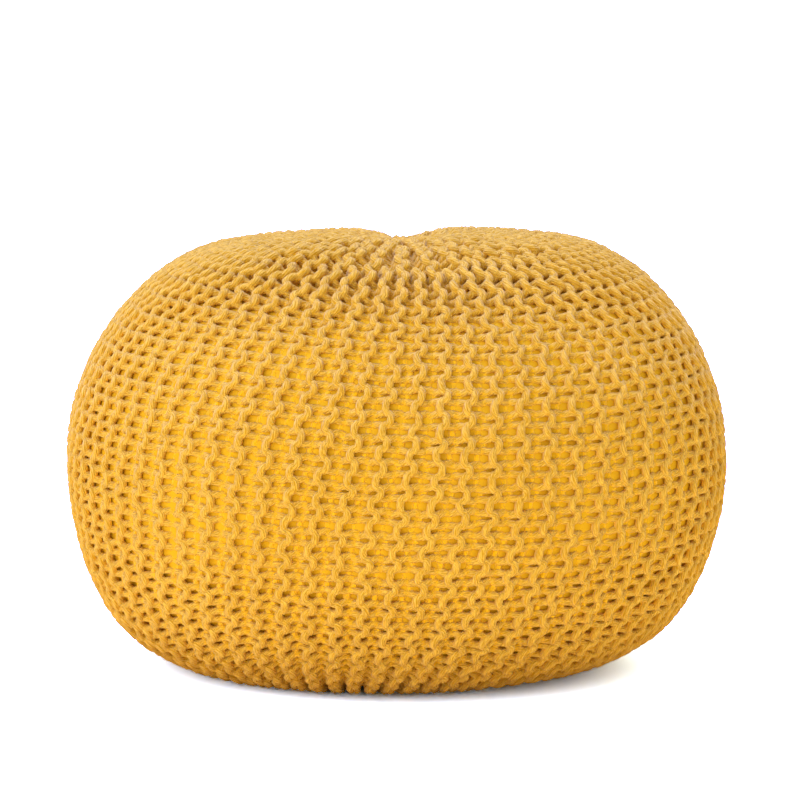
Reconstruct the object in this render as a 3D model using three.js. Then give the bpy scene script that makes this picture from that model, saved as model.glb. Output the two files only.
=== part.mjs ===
// Round knitted pouf: a filled inner bag inside a garter-stitch cover.
// Millimetres, +Z up, origin on the floor under the middle of the pouf, front towards -Y.
import * as THREE from 'three';

// Knit
const knitThickness = 8; // crest of a ridge to the inner bag
const ridgeCount = 72; // knitted ridges round the pouf
const ridgeHeight = 4; // crest of a ridge to the hollow beside it
const ridgeTwist = { from: 150, bend: -1.28e-6 }; // mm along a ridge, radians for each mm squared past it
const ridgeSpacing = { swing: 0.016, lobes: 4, phase: 2.27 }; // crowding of the ridges, radians
const gatherRadius = 9; // hole where the ends of the knitting are drawn together
const topGather = { x: 5, y: -40, full: 60, end: 260 }; // the top of the cover has slid to here, fading along the ridges
const clearance = 0.3; // cover to inner bag

// Outline over the crests, from the middle of the top to the middle of the foot
const crestProfile = [
  { r: 0, z: 336 },
  { r: 55, z: 335.5 },
  { r: 103, z: 332.5 },
  { r: 145, z: 326.5 },
  { r: 182, z: 308 },
  { r: 212.5, z: 278 },
  { r: 236, z: 241 },
  { r: 250, z: 199 },
  { r: 254, z: 155 },
  { r: 248.5, z: 111 },
  { r: 235, z: 69.5 },
  { r: 211, z: 33 },
  { r: 174, z: 9 },
  { r: 138, z: 0.5 },
  { r: 96, z: -3.5 },
  { r: 48, z: -5 },
  { r: 0, z: -5 },
];

// How the filled pouf has settled
const floorLevel = 0;
const waistLevel = 155;
const crownLevel = 336;
const leanSlope = 0.014; // rise towards +X at the top and the foot
const dimple = { depth: 3, radius: 32 }; // hollow at the top gather
const crease = { depth: 8.5, width: 24, full: 150, end: 215 }; // from the top gather to the back
const ridgeFade = { perRadius: 0.08, perHeight: 0.35 }; // ridges flatten near the axis and the floor

// Fineness of the solids
const pointsPerRidge = 2;
const coverRings = 26;
const bagSides = 48;
const bagRings = 18;

const { smoothstep } = THREE.MathUtils;
const profile = new THREE.SplineCurve(crestProfile.map(({ r, z }) => new THREE.Vector2(r, z)));
const crestLength = profile.getLength();
const gatherShare = gatherRadius / crestLength;

// Height that settling adds to a point of the evenly filled form
function settle(x, y, z) {
  const top = smoothstep(z, waistLevel, crownLevel);
  const foot = 1 - smoothstep(z, floorLevel, waistLevel);
  const lean = leanSlope * x * (top + foot);
  const [aside, behind] = [x - topGather.x, y - topGather.y];
  const hollow = dimple.depth * Math.exp(-((aside ** 2 + behind ** 2) / dimple.radius ** 2));
  const fold = crease.depth * Math.exp(-((aside / crease.width) ** 2));
  const foldReach = smoothstep(behind, 0, dimple.radius) * (1 - smoothstep(y, crease.full, crease.end));
  return lean - (hollow + fold * foldReach) * top;
}

// Direction of the turn-th ridge at a share of the way from the top to the foot
function ridgeAngle(turn, along) {
  const even = (turn / ridgeCount) * 2 * Math.PI;
  const { swing, lobes, phase } = ridgeSpacing;
  const twisted = Math.max(along * crestLength - ridgeTwist.from, 0);
  return even + swing * Math.sin(lobes * (even + phase)) + ridgeTwist.bend * twisted ** 2;
}

// Share of the way along, between the top and the widest place, where the outline has this radius
function shareAtRadius(radius) {
  let [low, high] = [0, 0.5];
  for (let i = 0; i < 30; i += 1) {
    const middle = (low + high) / 2;
    if (profile.getPointAt(middle).x < radius) low = middle;
    else high = middle;
  }
  return low;
}

// Place on the form of a point of the cover: its direction, and its share of the way from the top
function slidPlace(turn, along) {
  const angle = ridgeAngle(turn, along);
  const slide = 1 - smoothstep(along * crestLength, topGather.full, topGather.end);
  if (slide === 0) return { angle, share: along };
  const radius = profile.getPointAt(along).x;
  const x = radius * Math.cos(angle) + slide * topGather.x;
  const y = radius * Math.sin(angle) + slide * topGather.y;
  return { angle: Math.atan2(y, x), share: shareAtRadius(Math.hypot(x, y)) };
}

// Point at a depth under the crests; where it would sink past its rest level it lies flat
function surfacePoint(turn, along, depth) {
  const { angle, share } = slidPlace(turn, along);
  const crest = profile.getPointAt(share);
  const tangent = profile.getTangentAt(share);
  const radius = crest.x + depth * tangent.y;
  const height = crest.y - depth * tangent.x;
  const x = radius * Math.cos(angle);
  const y = radius * Math.sin(angle);
  const z = Math.max(height + settle(x, y, height), floorLevel + depth);
  return new THREE.Vector3(x, y, z);
}

// Depth of the cover's outside: none on a crest, the ridge height in a hollow
function ridgeDepth(along, inHollow) {
  const { x: radius, y: height } = profile.getPointAt(along);
  const room = Math.min(ridgeHeight, radius * ridgeFade.perRadius, height * ridgeFade.perHeight);
  return inHollow ? Math.max(room, 0) : 0;
}

function coverRing(along) {
  const count = ridgeCount * pointsPerRidge;
  return Array.from({ length: count }, (_, i) => {
    const depth = ridgeDepth(along, i % pointsPerRidge !== 0);
    return surfacePoint(i / pointsPerRidge, along, depth);
  });
}

function bagRing(along, depth) {
  return Array.from({ length: bagSides }, (_, i) => {
    return surfacePoint((i / bagSides) * ridgeCount, along, depth);
  });
}

// Shares of the profile's length for evenly spaced rings between the two gathers
function ringShares(count) {
  return Array.from({ length: count }, (_, i) => {
    return THREE.MathUtils.lerp(gatherShare, 1 - gatherShare, i / (count - 1));
  });
}

// Triangles between two rings, where one has a whole multiple of the other's points
function bandTriangles(upper, lower) {
  const steps = Math.max(upper.length, lower.length);
  const pick = (ring, i) => ring[Math.floor((i * ring.length) / steps) % ring.length];
  const triangles = [];
  for (let i = 0; i < steps; i += 1) {
    const [a, b] = [pick(upper, i), pick(upper, i + 1)];
    const [c, d] = [pick(lower, i), pick(lower, i + 1)];
    if (a !== b) triangles.push(a, c, b);
    if (c !== d) triangles.push(b, c, d);
  }
  return triangles;
}

// Triangles of a skin through rings given from the top to the foot, facing out
function skinTriangles(rings) {
  return rings.slice(1).flatMap((ring, i) => bandTriangles(rings[i], ring));
}

// Closed solid through rings of points; rings of an inside make it a shell, open at both gathers
function ringSolid(outside, inside = []) {
  const points = [...outside, ...inside];
  let next = 0;
  const numbered = points.map((ring) => ring.map(() => next++));
  const outer = numbered.slice(0, outside.length);
  const inner = numbered.slice(outside.length);
  const triangles = skinTriangles(outer);
  if (inner.length > 0) {
    triangles.push(...bandTriangles(inner[0], outer[0]));
    triangles.push(...bandTriangles(outer.at(-1), inner.at(-1)));
    triangles.push(...skinTriangles(inner).reverse()); // read backwards, it faces in
  }
  const geometry = new THREE.BufferGeometry();
  geometry.setFromPoints(points.flat());
  geometry.setIndex(triangles);
  geometry.computeVertexNormals();
  return geometry;
}

// Ridged outside, and a smooth inside that follows the bag
function knitCover() {
  const outside = ringShares(coverRings).map(coverRing);
  const inside = ringShares(bagRings).map((along) => bagRing(along, knitThickness - clearance));
  const geometry = ringSolid(outside, inside);
  const cottonCord = new THREE.MeshStandardMaterial({ color: 0xe6ac45, roughness: 0.92, metalness: 0 });
  const mesh = new THREE.Mesh(geometry, cottonCord);
  mesh.name = 'knit_cover';
  return mesh;
}

// Filled bag, closed by a point at the top and one at the foot
function linerBag() {
  const rings = ringShares(bagRings).map((along) => bagRing(along, knitThickness));
  const top = [surfacePoint(0, 0, knitThickness)];
  const foot = [surfacePoint(0, 1, knitThickness)];
  const geometry = ringSolid([top, ...rings, foot]);
  const bagCloth = new THREE.MeshStandardMaterial({ color: 0xe9a41a, roughness: 0.85, metalness: 0 });
  const mesh = new THREE.Mesh(geometry, bagCloth);
  mesh.name = 'liner_bag';
  return mesh;
}

const pouf = new THREE.Group();
pouf.add(knitCover(), linerBag());

export default pouf;
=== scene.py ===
import math

import bmesh
import bpy
import numpy as np
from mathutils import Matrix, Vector


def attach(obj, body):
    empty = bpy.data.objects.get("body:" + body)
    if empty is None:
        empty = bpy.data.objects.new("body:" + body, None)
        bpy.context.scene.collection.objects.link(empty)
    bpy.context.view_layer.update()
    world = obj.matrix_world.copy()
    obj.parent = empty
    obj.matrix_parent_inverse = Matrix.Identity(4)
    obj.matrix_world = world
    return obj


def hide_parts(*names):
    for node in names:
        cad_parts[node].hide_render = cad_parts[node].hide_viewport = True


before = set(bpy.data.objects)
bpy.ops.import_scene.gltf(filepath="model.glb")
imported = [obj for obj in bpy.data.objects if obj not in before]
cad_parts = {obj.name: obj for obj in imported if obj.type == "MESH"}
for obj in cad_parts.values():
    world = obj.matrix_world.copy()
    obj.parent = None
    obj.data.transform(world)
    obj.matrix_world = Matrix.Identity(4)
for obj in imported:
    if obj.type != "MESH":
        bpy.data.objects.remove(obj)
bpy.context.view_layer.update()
scene = bpy.context.scene
mm = 0.001
print("frame loaded:", sorted(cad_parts))

# the settled pouf, in mm, as in the CAD solids
form = {
    "crest": (  # radius and height over the ridges, from the middle of the top to the middle of the foot
        (0, 336), (55, 335.5), (103, 332.5), (145, 326.5), (182, 308), (212.5, 278), (236, 241), (250, 199),
        (254, 155), (248.5, 111), (235, 69.5), (211, 33), (174, 9), (138, 0.5), (96, -3.5), (48, -5), (0, -5),
    ),
    "crestPoints": 2401,
    "waist": 155,
    "crown": 336,
    "leanSlope": 0.014,
    "dimpleDepth": 3,
    "dimpleRadius": 32,
    "creaseDepth": 8.5,
    "creaseWidth": 24,
    "creaseFull": 150,
    "creaseEnd": 215,
    "ridges": 72,
    "twistFrom": 150,  # mm along a ridge
    "twistBend": -1.28e-6,  # radians for each mm squared past it
    "gatherX": 5,  # the top of the cover has slid to here
    "gatherY": -40,
    "gatherFull": 60,
    "gatherEnd": 260,
    "swing": 0.016,  # crowding of the ridges, radians
    "lobes": 4,
    "phase": 2.27,
}


def smoothstep(x, low, high):
    x = np.clip((x - low) / (high - low), 0, 1)
    return x * x * (3 - 2 * x)


def splineThrough(points, count):  # an even spline that passes through every point
    points = np.asarray(points, float)
    last = len(points) - 1
    place = np.linspace(0, last, count)
    i = np.minimum(place.astype(int), last - 1)
    w = (place - i)[:, None]
    before, start, end, after = (points[np.clip(i + step, 0, last)] for step in (-1, 0, 1, 2))
    leave, arrive = (end - before) / 2, (after - start) / 2
    cubic = 2 * (start - end) + leave + arrive
    square = 3 * (end - start) - 2 * leave - arrive
    return start + w * (leave + w * (square + w * cubic))


def lengthAlong(points):  # distance from the first point to each
    return np.concatenate([[0], np.cumsum(np.linalg.norm(np.diff(points, axis=0), axis=1))])


crest = splineThrough(form["crest"], form["crestPoints"])
crestArc = lengthAlong(crest)
crestLength = crestArc[-1]
crestSlope = np.gradient(crest, crestArc, axis=0)


def settle(x, y, z):  # height that settling adds
    top = smoothstep(z, form["waist"], form["crown"])
    foot = 1 - smoothstep(z, 0, form["waist"])
    aside, behind = x - form["gatherX"], y - form["gatherY"]
    hollow = form["dimpleDepth"] * np.exp(-(aside**2 + behind**2) / form["dimpleRadius"] ** 2)
    fold = form["creaseDepth"] * np.exp(-((aside / form["creaseWidth"]) ** 2))
    fold = fold * smoothstep(behind, 0, form["dimpleRadius"])
    fold = fold * (1 - smoothstep(y, form["creaseFull"], form["creaseEnd"]))
    return form["leanSlope"] * x * (top + foot) - (hollow + fold) * top


def topSlide(along):  # share of the top gather's slide
    return 1 - smoothstep(along, form["gatherFull"], form["gatherEnd"])


def slidPlace(turn, along):  # direction, and mm along the form, of a place on the cover
    even = turn / form["ridges"] * 2 * np.pi
    angle = even + form["swing"] * np.sin(form["lobes"] * (even + form["phase"]))
    angle = angle + form["twistBend"] * np.maximum(along - form["twistFrom"], 0) ** 2
    radius = np.interp(along, crestArc, crest[:, 0])
    slide = topSlide(along)
    x = radius * np.cos(angle) + slide * form["gatherX"]
    y = radius * np.sin(angle) + slide * form["gatherY"]
    upper = slice(0, np.argmax(crest[:, 0]))
    slidAlong = np.interp(np.hypot(x, y), crest[upper, 0], crestArc[upper])
    return np.where(slide > 0, np.arctan2(y, x), angle), np.where(slide > 0, slidAlong, along)


def onPouf(turn, along, depth):  # turn in ridges, along in mm from the top, depth in mm under the crests
    angle, along = slidPlace(turn, along)
    radius, height = (np.interp(along, crestArc, crest[:, i]) for i in (0, 1))
    outward, upward = (np.interp(along, crestArc, crestSlope[:, i]) for i in (0, 1))
    radius = radius + depth * upward
    height = height - depth * outward
    x, y = radius * np.cos(angle), radius * np.sin(angle)
    return np.stack([x, y, np.maximum(height + settle(x, y, height), depth)], -1)


class Wire:  # a node's output that takes part in sums
    def __init__(self, finish, socket):
        self.finish, self.socket = finish, socket

    def math(self, operation, *values):
        return self.finish.add("ShaderNodeMath", {"operation": operation}, dict(enumerate(values)))

    def __add__(self, other):
        return self.math("ADD", self, other)

    def __sub__(self, other):
        return self.math("SUBTRACT", self, other)

    def __rsub__(self, other):
        return self.math("SUBTRACT", other, self)

    def __mul__(self, other):
        return self.math("MULTIPLY", self, other)

    __radd__, __rmul__ = __add__, __mul__

    def sine(self):
        return self.math("SINE", self)

    def cosine(self):
        return self.math("COSINE", self)


class Finish:  # a material and its nodes
    def __init__(self, name, fixed):
        self.material = bpy.data.materials.new(name)
        self.material.use_nodes = True
        self.tree = self.material.node_tree
        self.shader = self.tree.nodes["Principled BSDF"]
        for socket, value in fixed.items():
            self.shader.inputs[socket].default_value = value

    def add(self, kind, settings=None, sockets=None, out=0):
        made = self.tree.nodes.new(kind)
        for key, value in (settings or {}).items():
            setattr(made, key, value)
        for key, value in (sockets or {}).items():
            self.feed(made.inputs[key], value)
        return Wire(self, made.outputs[out])

    def feed(self, socket, value):
        if isinstance(value, Wire):
            self.tree.links.new(value.socket, socket)
        else:
            socket.default_value = value

    def blend(self, share, first, second):
        settings = {"data_type": "RGBA", "blend_type": "MIX"}
        return self.add("ShaderNodeMix", settings, {0: share, 6: first, 7: second}, out=2)

    def ease(self, value, low, high):  # from 0 to 1 as the value goes from low to high
        settings = {"interpolation_type": "SMOOTHSTEP"}
        return self.add("ShaderNodeMapRange", settings, {0: value, 1: low, 2: high})

    def noise(self, vector, scale, detail):
        return self.add("ShaderNodeTexNoise", None, {"Vector": vector, "Scale": scale, "Detail": detail})

    def bump(self, height, distance, strength):
        sockets = {"Height": height, "Distance": distance, "Strength": strength}
        return self.add("ShaderNodeBump", None, sockets)

    def objectPlace(self):
        return self.add("ShaderNodeTexCoord", out=3)

    def finish(self, **links):
        for socket, value in links.items():
            self.feed(self.shader.inputs[socket.replace("_", " ")], value)
        return self.material


def addPiece(mesh, replaced):
    piece = bpy.data.objects.new(mesh.name, mesh)
    scene.collection.objects.link(piece)
    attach(piece, "root")
    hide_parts(replaced)
    return piece


# camera at the photo's angle
cameraSettings = {
    "elevation": math.radians(7.0),
    "distance": 3.0,
    "waist": Vector((0.0, 0.0, 0.1551)),  # the pouf's middle
    "aim": Vector((0.0027, 0.0, 0.2046)),  # the middle of the picture
    "lens": 174.2,
    "sensor": 36,
}


def makeCamera(settings):
    camera = bpy.data.objects.new("camera", bpy.data.cameras.new("camera"))
    scene.collection.objects.link(camera)
    rise = settings["elevation"]
    camera.location = settings["waist"] + settings["distance"] * Vector((0, -math.cos(rise), math.sin(rise)))
    camera.rotation_euler = (settings["aim"] - camera.location).to_track_quat("-Z", "Y").to_euler()
    camera.data.lens = settings["lens"]
    camera.data.sensor_width = settings["sensor"]
    scene.camera = camera


makeCamera(cameraSettings)

# plain white floor and soft studio light
studio = {
    "floorRadius": 600.0,
    "floorSides": 64,
    "floorFinish": {"Roughness": 0.9},
    "floorColour": (1.28, 1.03, 0.3, 1),  # what it throws back on the pouf
    "floorSeen": (2.5, 3.5, 4.9, 1),  # what the camera sees of it, lit until it is white
    "ambient": 0.56,
    "suns": (  # name, where it shines from, strength, softness, colour
        ("key", Vector((-0.6, -0.8, 0.65)), 1.5, math.radians(50), (1, 1, 1.05)),
        ("fill", Vector((-0.05, -1.0, 0.12)), 0.4, math.radians(30), (1, 1, 1)),
        ("overhead", Vector((-0.15, 0.2, 1.0)), 1.85, math.radians(20), (0.84, 1.06, 3.0)),
        ("back", Vector((0.55, 1.0, 0.5)), 1.25, math.radians(50), (1, 0.92, 0.55)),
    ),
}


def makeFloor(settings):
    shape = bmesh.new()
    sides, radius = settings["floorSides"], settings["floorRadius"]
    bmesh.ops.create_circle(shape, cap_ends=True, segments=sides, radius=radius)
    mesh = bpy.data.meshes.new("floor")
    shape.to_mesh(mesh)
    shape.free()
    floor = bpy.data.objects.new("floor", mesh)
    scene.collection.objects.link(floor)
    paper = Finish("paleFloor", settings["floorFinish"])
    seen = paper.add("ShaderNodeLightPath")  # 1 for what the camera sees
    colour = paper.blend(seen, settings["floorColour"], settings["floorSeen"])
    mesh.materials.append(paper.finish(Base_Color=colour))


def makeLight(settings):
    world = bpy.data.worlds.new("studio")
    world.use_nodes = True
    background = world.node_tree.nodes["Background"]
    background.inputs["Color"].default_value = (1, 1, 1, 1)
    background.inputs["Strength"].default_value = settings["ambient"]
    scene.world = world
    for name, origin, strength, softness, colour in settings["suns"]:
        sun = bpy.data.objects.new(name, bpy.data.lights.new(name, "SUN"))
        scene.collection.objects.link(sun)
        sun.data.energy = strength
        sun.data.angle = softness
        sun.data.color = colour
        sun.rotation_euler = origin.to_track_quat("Z", "Y").to_euler()
    scene.view_settings.view_transform = "Standard"


makeFloor(studio)
makeLight(studio)
print("camera, floor and light ready")

# the knitted cover: garter stitch, one closed run of cord for each ridge
knit = {
    "cordRadius": (2.95, 0.2),  # mm where the cover is stretched, and what it gains where it is slack
    "proud": 1.0,  # mm that the cord stands out past the solid
    "relief": (4.6, 5.6),  # mm between the middles of the cord on the front and the back ridges
    "sink": 0.6,  # mm that the back ridges press into the bag
    "sinkEnd": 0.3,  # level where that ends
    "dip": 0.2,  # mm that the legs between the ridges lie lower than halfway
    "reach": (2.6, 0.7),  # mm that a loop reaches past its ridge
    "mostReach": 0.3,  # share of the gap between the ridges
    "slack": (250, 120),  # mm from a gather where the stretch starts to ease, and where it is gone
    "plump": (1.03, 0.05),  # share of the radius at the back, and what it gains on a front ridge
    "plumpLevels": (0.4, 0.9),  # levels between which it gains that
    "stitch": 18.0,  # mm along a ridge
    "rowPoints": 400,  # fineness of the table of stitch rows
    "sides": 6,
    "narrowing": 0.015,  # stitches by which a loop's legs are drawn together
    "rowTilt": 11.0,  # mm that the rows of stitches drop towards the right
    "rowSag": 11.0,  # and towards the front
    "turnBacks": (117, 63, 27),  # mm from a gather where every 2nd, 4th and 8th ridge turns back
    "lastTurn": 9,  # where the others do
    "closing": 6,  # mm before and past a turn over which its neighbours close in
    "ring": 5.0,  # mm from the middle of a gather to the cord that draws it together
    "ringPoints": 32,
    "ringLevel": (0.35, 0.25),  # its level, and how far that goes up and down
    "neat": 50,  # mm from a gather past which the stitches stray freely
    "patch": (6, 80),  # ridges and mm that stray together
    "patchStray": (0.15, 2.5),  # ridges aside, and mm onward
    "single": (1, 9),  # ridges and mm that stray alone
    "singleStray": (1.1, 1.5),  # mm aside, and mm onward
    "heave": (0.5, 1, 18),  # mm up and down, and the ridges and mm over which it changes
    "swell": (0.06, 1, 6),  # share of the radius, and the ridges and mm over which it changes
    "sectors": 6,
    "seed": 11,
}
# half a loop: stitches from its middle, share of the way across, reaches past the ridge, level
halfLoop = (
    (-0.50, 0.00, -1.00, 0.00),  # middle of the foot
    (-0.37, 0.00, -0.95, 0.00),
    (-0.255, 0.00, -0.35, 0.08),
    (-0.21, 0.14, 0.30, 0.20),
    (-0.25, 0.50, 0.00, 0.45),  # middle of a leg
    (-0.29, 0.86, -0.30, 0.72),
    (-0.245, 1.00, 0.35, 0.84),
    (-0.13, 1.00, 0.95, 0.98),
    (0.00, 1.00, 1.00, 1.00),  # middle of the head
)


def loopRows(isFirst):  # the whole loop, from one foot's middle to just before the next
    half = np.array(halfLoop)
    if not isFirst:
        half[:, 3] = half[::-1, 3]  # its feet are in front
    half[:, 0] += knit["narrowing"] * np.sin(-2 * np.pi * half[:, 0])
    other = half[-2:0:-1] * [-1, 1, 1, 1]
    return np.vstack([half, other])


def wander(turn, along, seed, cellTurn, cellAlong):  # smooth random numbers over the cover, from -1 to 1
    columns = int(form["ridges"] / cellTurn)
    rows = int(crestLength / cellAlong) + 2
    grid = np.random.default_rng(seed).uniform(-1, 1, (rows, columns))
    x, y = turn / cellTurn, np.clip(along / cellAlong, 0, rows - 1.001)  # short of the last row
    i, j = np.floor(x).astype(int), np.floor(y).astype(int)
    u, v = smoothstep(x - i, 0, 1), smoothstep(y - j, 0, 1)
    left, right = i % columns, (i + 1) % columns
    low = grid[j, left] * (1 - u) + grid[j, right] * u
    high = grid[j + 1, left] * (1 - u) + grid[j + 1, right] * u
    return low * (1 - v) + high * v


def fromGather(along):  # mm to the nearer gather
    return np.minimum(along, crestLength - along)


def eased(key, along):  # a setting that changes where the cover is slack
    tight, slack = knit["slack"]
    return knit[key][0] + knit[key][1] * (1 - smoothstep(fromGather(along), slack, tight))


def ridgeWidth(along):  # mm from a ridge to the next
    return 2 * np.pi * np.interp(along, crestArc, crest[:, 0]) / form["ridges"]


def rowTable(ridge):  # mm along a ridge, and the stitch row that lies there
    along = np.linspace(0, crestLength, knit["rowPoints"])
    angle = ridge / form["ridges"] * 2 * np.pi
    right, front = np.cos(angle), -np.sin(angle)
    slid = topSlide(along) * (form["gatherX"] * right - form["gatherY"] * front)
    return along, (along + slid - knit["rowTilt"] * right - knit["rowSag"] * front) / knit["stitch"]


def firstAndLast(ridge, turnBack):  # stitches of a ridge that turns back this far from the gathers
    along, row = rowTable(ridge)
    top, foot = np.interp((turnBack, crestLength - turnBack), along, row)
    return math.ceil(top + 0.5), math.floor(foot - 0.5)


def halfGap(along, ridge, side):  # ridges from a front ridge to the back ridge beside it
    gap = np.full_like(along, 0.5)
    for i, turnBack in enumerate(knit["turnBacks"]):
        if ridge % 2 ** (i + 1):
            break
        neighbour = ridge + side * 2**i
        first, last = firstAndLast(neighbour, turnBack)
        top, foot = np.interp((first - 0.5, last + 0.5), *rowTable(neighbour)[::-1])
        inside = np.minimum(along - top, foot - along)
        gap = gap * (2 - smoothstep(inside, -knit["closing"], knit["closing"]))
    return gap


def courseRun(ridge, stitches, isFirst):  # turn, along and level of one course's cord
    rows = loopRows(isFirst)
    centre = np.repeat(stitches, len(rows))
    stitch, across, reach, level = (np.tile(rows[:, i], len(stitches)) for i in range(4))
    along = np.interp(centre + stitch, *rowTable(ridge)[::-1])
    gap = halfGap(along, ridge, -1 if isFirst else 1)
    reachTurn = np.minimum(eased("reach", along) / ridgeWidth(along), knit["mostReach"] * gap)
    turn = ridge + gap * (across - isFirst) + reach * reachTurn
    return np.stack([turn, along, level], -1)


def ridgeRun(ridge):  # a closed run: out along one course, back along the next
    turns = [turnBack for i, turnBack in enumerate(knit["turnBacks"]) if ridge % 2 ** (i + 1)]
    first, last = firstAndLast(ridge, turns[0] if turns else knit["lastTurn"])
    stitches = np.arange(first, last + 1)
    out = courseRun(ridge, stitches, True)
    home = courseRun(ridge, stitches, False)[::-1]
    return np.vstack([out, home])


def gatherRun(along):  # the ring that draws an end of the knitting together
    turn = np.linspace(0, form["ridges"], knit["ringPoints"], endpoint=False)
    level, sway = knit["ringLevel"]
    return np.stack([turn, np.full_like(turn, along), level + sway * np.cos(turn)], -1)


def strayed(turn, along):  # where hand knitting puts a stitch, rather than where it belongs
    seed = knit["seed"]
    patches = [wander(turn, along, seed + i, *knit["patch"]) for i in (0, 2)]
    singles = [wander(turn, along, seed + i, *knit["single"]) for i in (1, 3)]
    aside = knit["patchStray"][0] * patches[0] + knit["singleStray"][0] / ridgeWidth(along) * singles[0]
    onward = knit["patchStray"][1] * patches[1] + knit["singleStray"][1] * singles[1]
    share = smoothstep(fromGather(along), 0, knit["neat"])
    return turn + share * aside, along + share * onward


def placed(run, rise=0.0):  # points of a run on the pouf, in metres
    turn, along = strayed(run[:, 0], run[:, 1])
    level = run[:, 2]
    behind = 1 - smoothstep(level, 0, knit["sinkEnd"])  # 1 on a back ridge
    between = 4 * level * (1 - level)  # 1 halfway
    depth = eased("cordRadius", along) - knit["proud"] + eased("relief", along) * (1 - level)
    depth = depth + knit["sink"] * behind + knit["dip"] * between
    heave, *cell = knit["heave"]
    depth = depth - heave * wander(turn, along, knit["seed"] + 4, *cell)
    return onPouf(turn, along, depth - rise) * mm


def tube(run):  # rings of points round a closed run of cord
    middle = placed(run)
    normal = placed(run, rise=0.5) - middle
    direction = np.roll(middle, -1, axis=0) - np.roll(middle, 1, axis=0)
    direction /= np.linalg.norm(direction, axis=1)[:, None]
    side = np.cross(direction, normal)
    side /= np.linalg.norm(side, axis=1)[:, None]
    up = np.cross(side, direction)
    angle = np.arange(knit["sides"]) / knit["sides"] * 2 * np.pi
    share, *cell = knit["swell"]
    swell = 1 + share * wander(run[:, 0], run[:, 1], knit["seed"] + 5, *cell)
    plump = knit["plump"][0] + knit["plump"][1] * smoothstep(run[:, 2], *knit["plumpLevels"])
    radius = (eased("cordRadius", run[:, 1]) * plump * swell * mm)[:, None, None]
    rings = up[:, None] * np.cos(angle)[None, :, None] + side[:, None] * np.sin(angle)[None, :, None]
    return middle[:, None] + radius * rings


def tubeFaces(count, start):  # four corners of each face: ring i, side k
    sides = knit["sides"]
    i, k = (a.ravel() for a in np.meshgrid(np.arange(count), np.arange(sides), indexing="ij"))
    ring, nextRing = i * sides, (i + 1) % count * sides
    nextSide = (k + 1) % sides
    corners = np.stack([ring + k, ring + nextSide, nextRing + nextSide, nextRing + k], -1)
    return corners + start, i, k


# flat maps of the cord: one that follows its twist, and one of separate cells
cordMap = {
    "unit": 10,  # mm of cord
    "shift": 3.7,  # units between runs, for each cell, so that their fibres differ
    "cellRings": 16,
    "cellShape": 3.6,  # length of a cell over its width
    "margin": (0.02, 0.05),  # share of a cell left free at its ends and sides
}


def bakePlaces(cells, count):  # cells in rows and columns that fill the square
    columns = max(1, round(math.sqrt(count / cordMap["cellShape"])))
    rows = math.ceil(count / columns)
    ends, edges = cordMap["margin"]
    places = []
    for cell, u, v in cells:
        column, row = (cell % columns)[:, None], (cell // columns)[:, None]
        across = (column + ends + (1 - 2 * ends) * u) / columns
        places.append(np.stack([across, (row + edges + (1 - 2 * edges) * v) / rows], -1))
    return places


def sectorRuns(number):
    perSector = form["ridges"] // knit["sectors"]
    runs = [ridgeRun(number * perSector + ridge) for ridge in range(perSector)]
    if number == 0:
        runs += [gatherRun(along) for along in (knit["ring"], crestLength - knit["ring"])]
    return runs


def knitSector(number, material):
    points, faces, levels, twistPlaces, cells = [], [], [], [], []
    start = cell = 0
    cellRings = cordMap["cellRings"]
    for run in sectorRuns(number):
        rings = tube(run)
        middle = rings.mean(axis=1)
        length = lengthAlong(np.vstack([middle, middle[:1]]))
        corners, i, k = tubeFaces(len(run), start)
        alongCord = np.stack([length[i], length[i], length[i + 1], length[i + 1]], -1)
        alongCord = alongCord / mm / cordMap["unit"] + cell * cordMap["shift"]
        aroundCord = np.stack([k, k + 1, k + 1, k], -1) / knit["sides"]
        inCell = i % cellRings
        alongCell = np.stack([inCell, inCell, inCell + 1, inCell + 1], -1) / cellRings
        points.append(rings.reshape(-1, 3))
        levels.append(np.repeat(run[:, 2], knit["sides"]))
        faces.append(corners)
        twistPlaces.append(np.stack([alongCord, aroundCord], -1))
        cells.append((cell + i // cellRings, alongCell, aroundCord))
        start += rings.shape[0] * rings.shape[1]
        cell += len(run) // cellRings + 1
    mesh = bpy.data.meshes.new(f"knit_sector_{number + 1}")
    mesh.from_pydata(np.concatenate(points), [], np.concatenate(faces))
    mesh.shade_smooth()
    for name, places in (("cord", twistPlaces), ("OFBake", bakePlaces(cells, cell))):
        layer = mesh.uv_layers.new(name=name)
        layer.data.foreach_set("uv", np.concatenate(places).astype(np.float32).ravel())
    mesh.uv_layers["cord"].active_render = True
    level = mesh.attributes.new("level", "FLOAT", "POINT")
    level.data.foreach_set("value", np.concatenate(levels).astype(np.float32))
    mesh.materials.append(material)
    return mesh


# soft matt cotton, in twisted strands
cotton = {
    "fixed": {
        "Roughness": 0.88,
        "Sheen Weight": 0.22,
        "Sheen Roughness": 0.5,
        "Sheen Tint": (1.0, 1.0, 1.0, 1),
        "Specular IOR Level": 0.05,
    },
    # light and dark tones of the cord: fibres and uneven dye vary between them, and the grooves between the
    # strands get painted shade in the dark one
    "light": (0.91, 0.563, 0.09, 1),
    "dark": (0.64, 0.31, 0.002, 1),
    "paintedBounce": (1.0, 0.55, 0.004, 1),  # painted bounce light: the warm saturated tone of the shade between the cords, on the back ridges and on the undersides
    "twist": 0.22,  # turns in a unit of cord
    "strands": 9,
    "stretch": 0.5,  # scale of the fibres along the cord: less makes them longer
    "fibres": (6.0, 3.0),  # scale and detail
    "cloud": (9.0, 2.0),  # scale and detail of the uneven dye
    "shares": (4.5, 0.4, 0.5, 2.2),  # fibres, strands and cloud in the shade, and what is taken off
    "front": (0.0, 0.35),  # levels over which the painted bounce colour fades
    "outside": (-0.8, 0.2),  # and the heights on the cord, from -1 underneath to 1 on top
    "strandRelief": 0.3,
    "relief": (0.0016, 0.9),  # metres and strength
}


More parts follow.
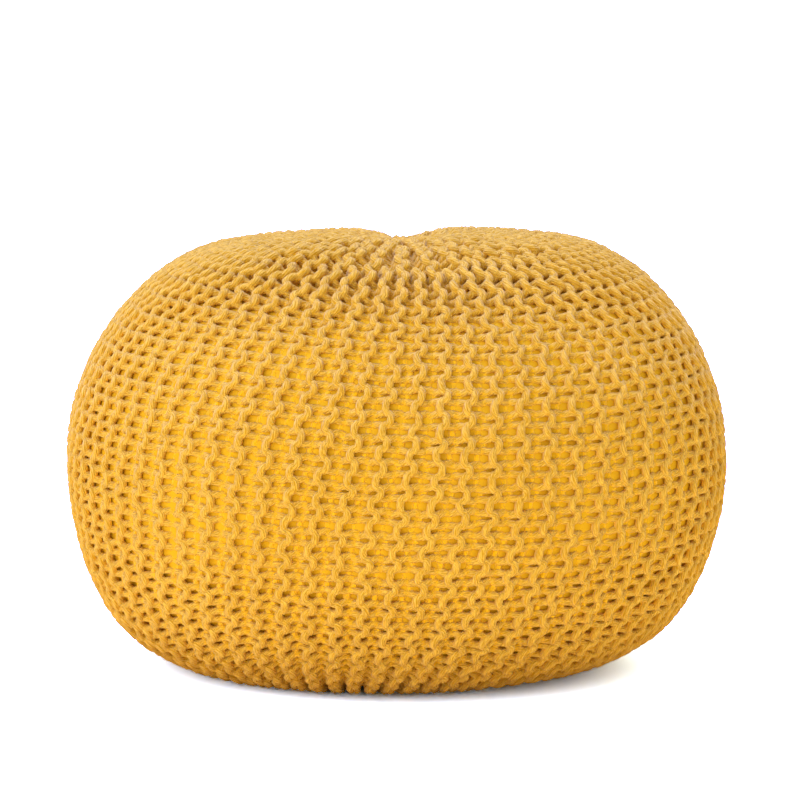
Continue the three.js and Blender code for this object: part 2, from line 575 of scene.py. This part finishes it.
def cottonCord(settings):
    cord = Finish("cottonCord", settings["fixed"])
    onCord = cord.add("ShaderNodeUVMap", {"uv_map": "cord"})
    along, around = (cord.add("ShaderNodeSeparateXYZ", None, {0: onCord}, out=i) for i in (0, 1))
    lay = (around + along * settings["twist"]) * (2 * math.pi)
    strands = (lay * settings["strands"]).sine() * 0.5 + 0.5
    drawn = {0: along * settings["stretch"], 1: lay.sine(), 2: lay.cosine()}
    fibres = cord.noise(cord.add("ShaderNodeCombineXYZ", None, drawn), *settings["fibres"])
    cloud = cord.noise(cord.objectPlace(), *settings["cloud"])
    fibreShare, strandShare, cloudShare, less = settings["shares"]
    # the strands' stripes are painted shade in the grooves between them; fibres and cloud are the cord's own
    # uneven tone
    shade = fibres * fibreShare + strands * strandShare + cloud * cloudShare - less
    level = cord.add("ShaderNodeAttribute", {"attribute_name": "level"}, out=2)
    # painted bounce light: the back ridges and the cord's undersides, which lie in shade, take the warm
    # saturated colour
    front = cord.ease(level, *settings["front"])
    outside = cord.ease((around * (2 * math.pi)).cosine(), *settings["outside"])
    dyedAndGrooveShade = cord.blend(shade, settings["dark"], settings["light"])
    colour = cord.blend(front * outside, settings["paintedBounce"], dyedAndGrooveShade)
    relief = cord.bump(strands * settings["strandRelief"] + fibres, *settings["relief"])
    return cord.finish(Base_Color=colour, Normal=relief)


cordMaterial = cottonCord(cotton)
faceCount = 0
for number in range(knit["sectors"]):
    sector = addPiece(knitSector(number, cordMaterial), "knit_cover")
    faceCount += 2 * len(sector.data.polygons)
print("knitted cover:", knit["sectors"], "sectors,", faceCount, "triangles")

# the filled inner bag that shows between the stitches
bagSettings = {
    "press": (0.0039, -0.0102),  # metres that it presses out at the sides, and what the top and foot add
    "ends": 5,  # how sharply that sets in
    "doubles": 1e-5,
    "voxel": 0.006,
    "pressure": 12.0,
    "frames": 20,
    "mostMove": 0.001,
    "fixed": {"Roughness": 0.8, "Specular IOR Level": 0.03},
    "colours": ((0.65, 0.355, 0.011, 1), (0.72, 0.415, 0.021, 1)),
    "cloud": (14.0, 3.0),  # scale and detail
    "threads": (900.0, 1.0),
    "shares": (0.7, 0.3),  # cloud and threads in the colour
    "relief": (0.0004, 0.5),  # metres and strength
}


def bagMesh(settings):
    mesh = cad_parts["liner_bag"].data.copy()
    mesh.name = "inner_bag"
    mesh.materials.clear()
    shape = bmesh.new()
    shape.from_mesh(mesh)
    bmesh.ops.remove_doubles(shape, verts=shape.verts, dist=settings["doubles"])
    shape.normal_update()
    press, atEnds = settings["press"]
    for vert in shape.verts:
        vert.co += vert.normal * (press + atEnds * abs(vert.normal.z) ** settings["ends"])
    shape.to_mesh(mesh)
    shape.free()
    return mesh


def pointsOf(mesh):
    flat = np.empty(len(mesh.vertices) * 3, np.float32)
    mesh.vertices.foreach_get("co", flat)
    return flat.reshape(-1, 3).astype(float)


def applyModifiers(piece):
    made = bpy.data.meshes.new_from_object(piece.evaluated_get(bpy.context.evaluated_depsgraph_get()))
    piece.modifiers.clear()
    made.name = piece.data.name
    piece.data = made


def fillBag(bag, settings):  # blows the bag up a little against its cloth
    remesh = bag.modifiers.new("even", "REMESH")
    remesh.mode = "VOXEL"
    remesh.voxel_size = settings["voxel"]
    applyModifiers(bag)
    before = pointsOf(bag.data)
    cloth = bag.modifiers.new("cloth", "CLOTH")
    cloth.settings.use_pressure = True
    cloth.settings.uniform_pressure_force = settings["pressure"]
    cloth.settings.effector_weights.gravity = 0
    for number in range(1, settings["frames"] + 1):
        scene.frame_set(number)
    applyModifiers(bag)
    move = pointsOf(bag.data) - before
    length = np.linalg.norm(move, axis=1)[:, None]
    move *= np.minimum(1, settings["mostMove"] / np.maximum(length, 1e-9))
    bag.data.vertices.foreach_set("co", (before + move).astype(np.float32).ravel())
    bag.data.update()
    scene.frame_set(1)
    print("bag blown up by", np.round(np.percentile(length, (5, 50, 95)) / mm, 2), "mm before the limit")


def bagCloth(settings):  # plain weave
    cloth = Finish("bagCloth", settings["fixed"])
    place = cloth.objectPlace()
    cloud = cloth.noise(place, *settings["cloud"])
    threads = cloth.noise(place, *settings["threads"])
    cloudShare, threadShare = settings["shares"]
    colour = cloth.blend(cloud * cloudShare + threads * threadShare, *settings["colours"])
    relief = cloth.bump(threads, *settings["relief"])
    return cloth.finish(Base_Color=colour, Normal=relief)


bag = addPiece(bagMesh(bagSettings), "liner_bag")
fillBag(bag, bagSettings)
bag.data.shade_smooth()
bag.data.materials.append(bagCloth(bagSettings))
print("inner bag:", len(bag.data.polygons), "faces")
